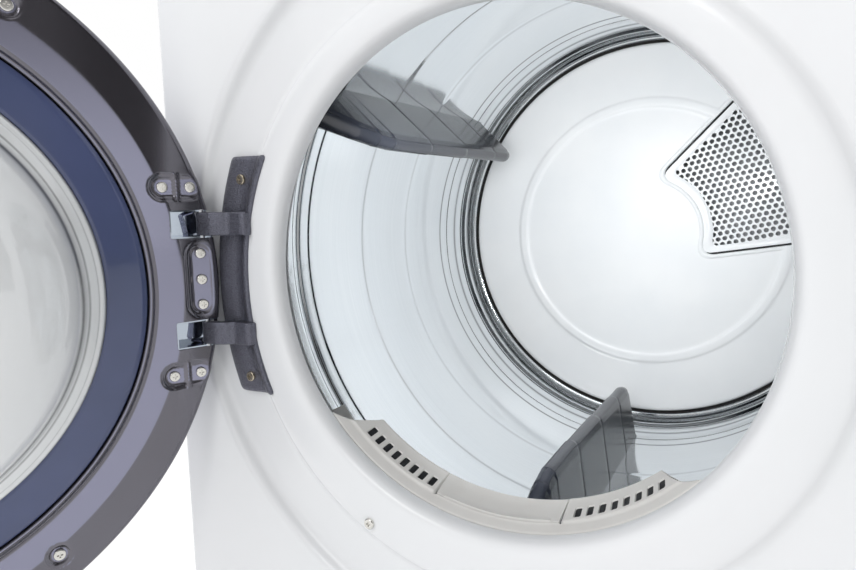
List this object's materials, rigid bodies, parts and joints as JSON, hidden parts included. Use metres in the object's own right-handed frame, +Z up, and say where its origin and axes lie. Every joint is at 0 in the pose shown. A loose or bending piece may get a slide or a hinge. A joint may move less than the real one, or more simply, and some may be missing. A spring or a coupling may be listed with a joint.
{
  "type": "front-loading clothes dryer",
  "caption": "Front-loading tumble dryer with an open round glass door, a polished drum with lifters, a vented rear wall and a lint filter in the lower lip.",
  "frame": {"origin": "on the floor, midway between the four levelling feet", "axes": "+X to the right as seen from the front, +Y towards the back of the cabinet, +Z up"},
  "size_m": [0.8778, 1.3066, 0.983],
  "materials": {
    "white_enamel": "gloss",
    "inner_enamel": "gloss",
    "zinc_sheet": "satin",
    "drum_steel": "polished",
    "lifter_plastic": "satin",
    "lip_plastic": "satin",
    "fascia_plastic": "gloss",
    "display_plastic": "gloss",
    "board_green": "satin",
    "knob_silver": "satin",
    "button_grey": "satin",
    "door_grey": "gloss",
    "door_tint": "gloss",
    "bowl_glass": "polished",
    "window_tint": "polished",
    "bracket_cast": "satin",
    "liner_black": "gloss",
    "screw_steel": "polished",
    "pin_steel": "polished",
    "latch_white": "satin",
    "felt": "matt",
    "belt_rubber": "matt",
    "roller_plastic": "satin",
    "motor_paint": "satin",
    "wheel_plastic": "satin",
    "duct_plastic": "satin",
    "filter_mesh": "satin",
    "coil_alloy": "satin",
    "spring_steel": "polished",
    "foot_rubber": "matt",
    "cover_plastic": "satin"
  },
  "bodies": {
    "cabinet": {"left_side_panel": "white_enamel", "right_side_panel": "white_enamel", "rear_panel": "zinc_sheet", "base_pan": "zinc_sheet", "top_panel": "white_enamel", "front_panel": "white_enamel", "cabinet_screws": "screw_steel", "control_fascia": "fascia_plastic", "display_window": "display_plastic", "control_board": "board_green", "front_bulkhead": "inner_enamel", "rear_bulkhead": "inner_enamel", "vent_grille": "inner_enamel", "front_felt_seal": "felt", "rear_felt_seal": "felt", "inlet_duct": "zinc_sheet", "heater_housing": "zinc_sheet", "heater_coil": "coil_alloy", "roller_shafts": "pin_steel", "drive_belt": "belt_rubber", "motor_body": "motor_paint", "idler_spring": "spring_steel", "blower_housing": "duct_plastic", "exhaust_pipe": "zinc_sheet", "lint_duct": "duct_plastic", "lint_housing": "lip_plastic", "hinge_bracket": "bracket_cast", "hinge_bracket_screws": "screw_steel", "latch_catch": "latch_white", "terminal_cover": "cover_plastic"},
    "drum": {"drum_shell": "drum_steel", "lifter_1": "lifter_plastic", "lifter_2": "lifter_plastic", "lifter_3": "lifter_plastic"},
    "motor_rotor": {"motor_shaft": "pin_steel", "blower_wheel": "wheel_plastic"},
    "idler_arm": {"idler_arm": "zinc_sheet"},
    "idler_pulley": {"idler_pulley": "roller_plastic"},
    "roller_front_left": {"roller_front_left": "roller_plastic"},
    "roller_front_right": {"roller_front_right": "roller_plastic"},
    "roller_rear_left": {"roller_rear_left": "roller_plastic"},
    "roller_rear_right": {"roller_rear_right": "roller_plastic"},
    "lint_filter": {"lint_filter": "filter_mesh"},
    "door": {"door_inner_frame": "door_grey", "door_outer_frame": "door_grey", "door_tint_ring": "door_tint", "door_glass": "bowl_glass", "door_front_window": "window_tint", "hinge_slot_liners": "liner_black", "hinge_pins": "pin_steel", "door_screws": "screw_steel", "door_latch_hook": "latch_white"},
    "cycle_knob": {"cycle_knob": "knob_silver"},
    "power_button": {"power_button": "button_grey"},
    "start_button": {"start_button": "button_grey"},
    "door_switch": {"door_switch_plunger": "latch_white"},
    "foot_front_left": {"foot_front_left": "foot_rubber"},
    "foot_front_right": {"foot_front_right": "foot_rubber"},
    "foot_rear_left": {"foot_rear_left": "foot_rubber"},
    "foot_rear_right": {"foot_rear_right": "foot_rubber"}
  },
  "joints": [
    {"name": "drum_spin", "type": "hinge", "parent": "cabinet", "child": "drum", "pos_m": [0, 0, 0.523], "axis": [0, 1, 0], "continuous": true},
    {"name": "motor_spin", "type": "hinge", "parent": "cabinet", "child": "motor_rotor", "pos_m": [0.13, 0, 0.125], "axis": [0, 1, 0], "continuous": true},
    {"name": "idler_swing", "type": "hinge", "parent": "cabinet", "child": "idler_arm", "pos_m": [0.062, 0.11, 0.084], "axis": [0, -1, 0], "range_deg": [0, 12], "stiffness_Nm_per_rad": 2, "springref_deg": -20.05, "deforming": ["idler_spring"]},
    {"name": "idler_spin", "type": "hinge", "parent": "idler_arm", "child": "idler_pulley", "pos_m": [0.04, 0.12, 0.146], "axis": [0, 1, 0], "continuous": true},
    {"name": "roller_front_left_spin", "type": "hinge", "parent": "cabinet", "child": "roller_front_left", "pos_m": [-0.22065, -0.28, 0.24058], "axis": [0, 1, 0], "continuous": true},
    {"name": "roller_front_right_spin", "type": "hinge", "parent": "cabinet", "child": "roller_front_right", "pos_m": [0.22065, -0.28, 0.24058], "axis": [0, 1, 0], "continuous": true},
    {"name": "roller_rear_left_spin", "type": "hinge", "parent": "cabinet", "child": "roller_rear_left", "pos_m": [-0.21727, 0.284, 0.24491], "axis": [0, 1, 0], "continuous": true},
    {"name": "roller_rear_right_spin", "type": "hinge", "parent": "cabinet", "child": "roller_rear_right", "pos_m": [0.21727, 0.284, 0.24491], "axis": [0, 1, 0], "continuous": true},
    {"name": "lint_filter_slide", "type": "slide", "parent": "cabinet", "child": "lint_filter", "axis": [0, 0, -1], "range_m": [-0.14, 0]},
    {"name": "door_hinge", "type": "hinge", "parent": "cabinet", "child": "door", "pos_m": [-0.2855, -0.37075, 0.509], "axis": [0, 0, 1], "range_deg": [0, 112.8]},
    {"name": "cycle_knob_turn", "type": "hinge", "parent": "cabinet", "child": "cycle_knob", "pos_m": [0, -0.37, 0.905], "axis": [0, 1, 0], "continuous": true},
    {"name": "power_button_press", "type": "slide", "parent": "cabinet", "child": "power_button", "axis": [0, 1, 0], "range_m": [0, 0.003], "stiffness_N_per_m": 400},
    {"name": "start_button_press", "type": "slide", "parent": "cabinet", "child": "start_button", "axis": [0, 1, 0], "range_m": [0, 0.003], "stiffness_N_per_m": 400},
    {"name": "door_switch_press", "type": "slide", "parent": "cabinet", "child": "door_switch", "axis": [0, 1, 0], "range_m": [0, 0.004], "stiffness_N_per_m": 200},
    {"name": "foot_front_left_turn", "type": "hinge", "parent": "cabinet", "child": "foot_front_left", "pos_m": [-0.298, -0.31, 0.02], "axis": [0, 0, 1], "continuous": true},
    {"name": "foot_front_right_turn", "type": "hinge", "parent": "cabinet", "child": "foot_front_right", "pos_m": [0.298, -0.31, 0.02], "axis": [0, 0, 1], "continuous": true},
    {"name": "foot_rear_left_turn", "type": "hinge", "parent": "cabinet", "child": "foot_rear_left", "pos_m": [-0.298, 0.31, 0.02], "axis": [0, 0, 1], "continuous": true},
    {"name": "foot_rear_right_turn", "type": "hinge", "parent": "cabinet", "child": "foot_rear_right", "pos_m": [0.298, 0.31, 0.02], "axis": [0, 0, 1], "continuous": true}
  ],
  "couplings": [
    {"joint": "motor_spin", "follows": "drum_spin", "ratio": 28.902},
    {"joint": "idler_spin", "follows": "drum_spin", "ratio": -20.618},
    {"joint": "roller_front_left_spin", "follows": "drum_spin", "ratio": -9.2286},
    {"joint": "roller_front_right_spin", "follows": "drum_spin", "ratio": -9.2286},
    {"joint": "roller_rear_left_spin", "follows": "drum_spin", "ratio": -9.0714},
    {"joint": "roller_rear_right_spin", "follows": "drum_spin", "ratio": -9.0714}
  ]
}
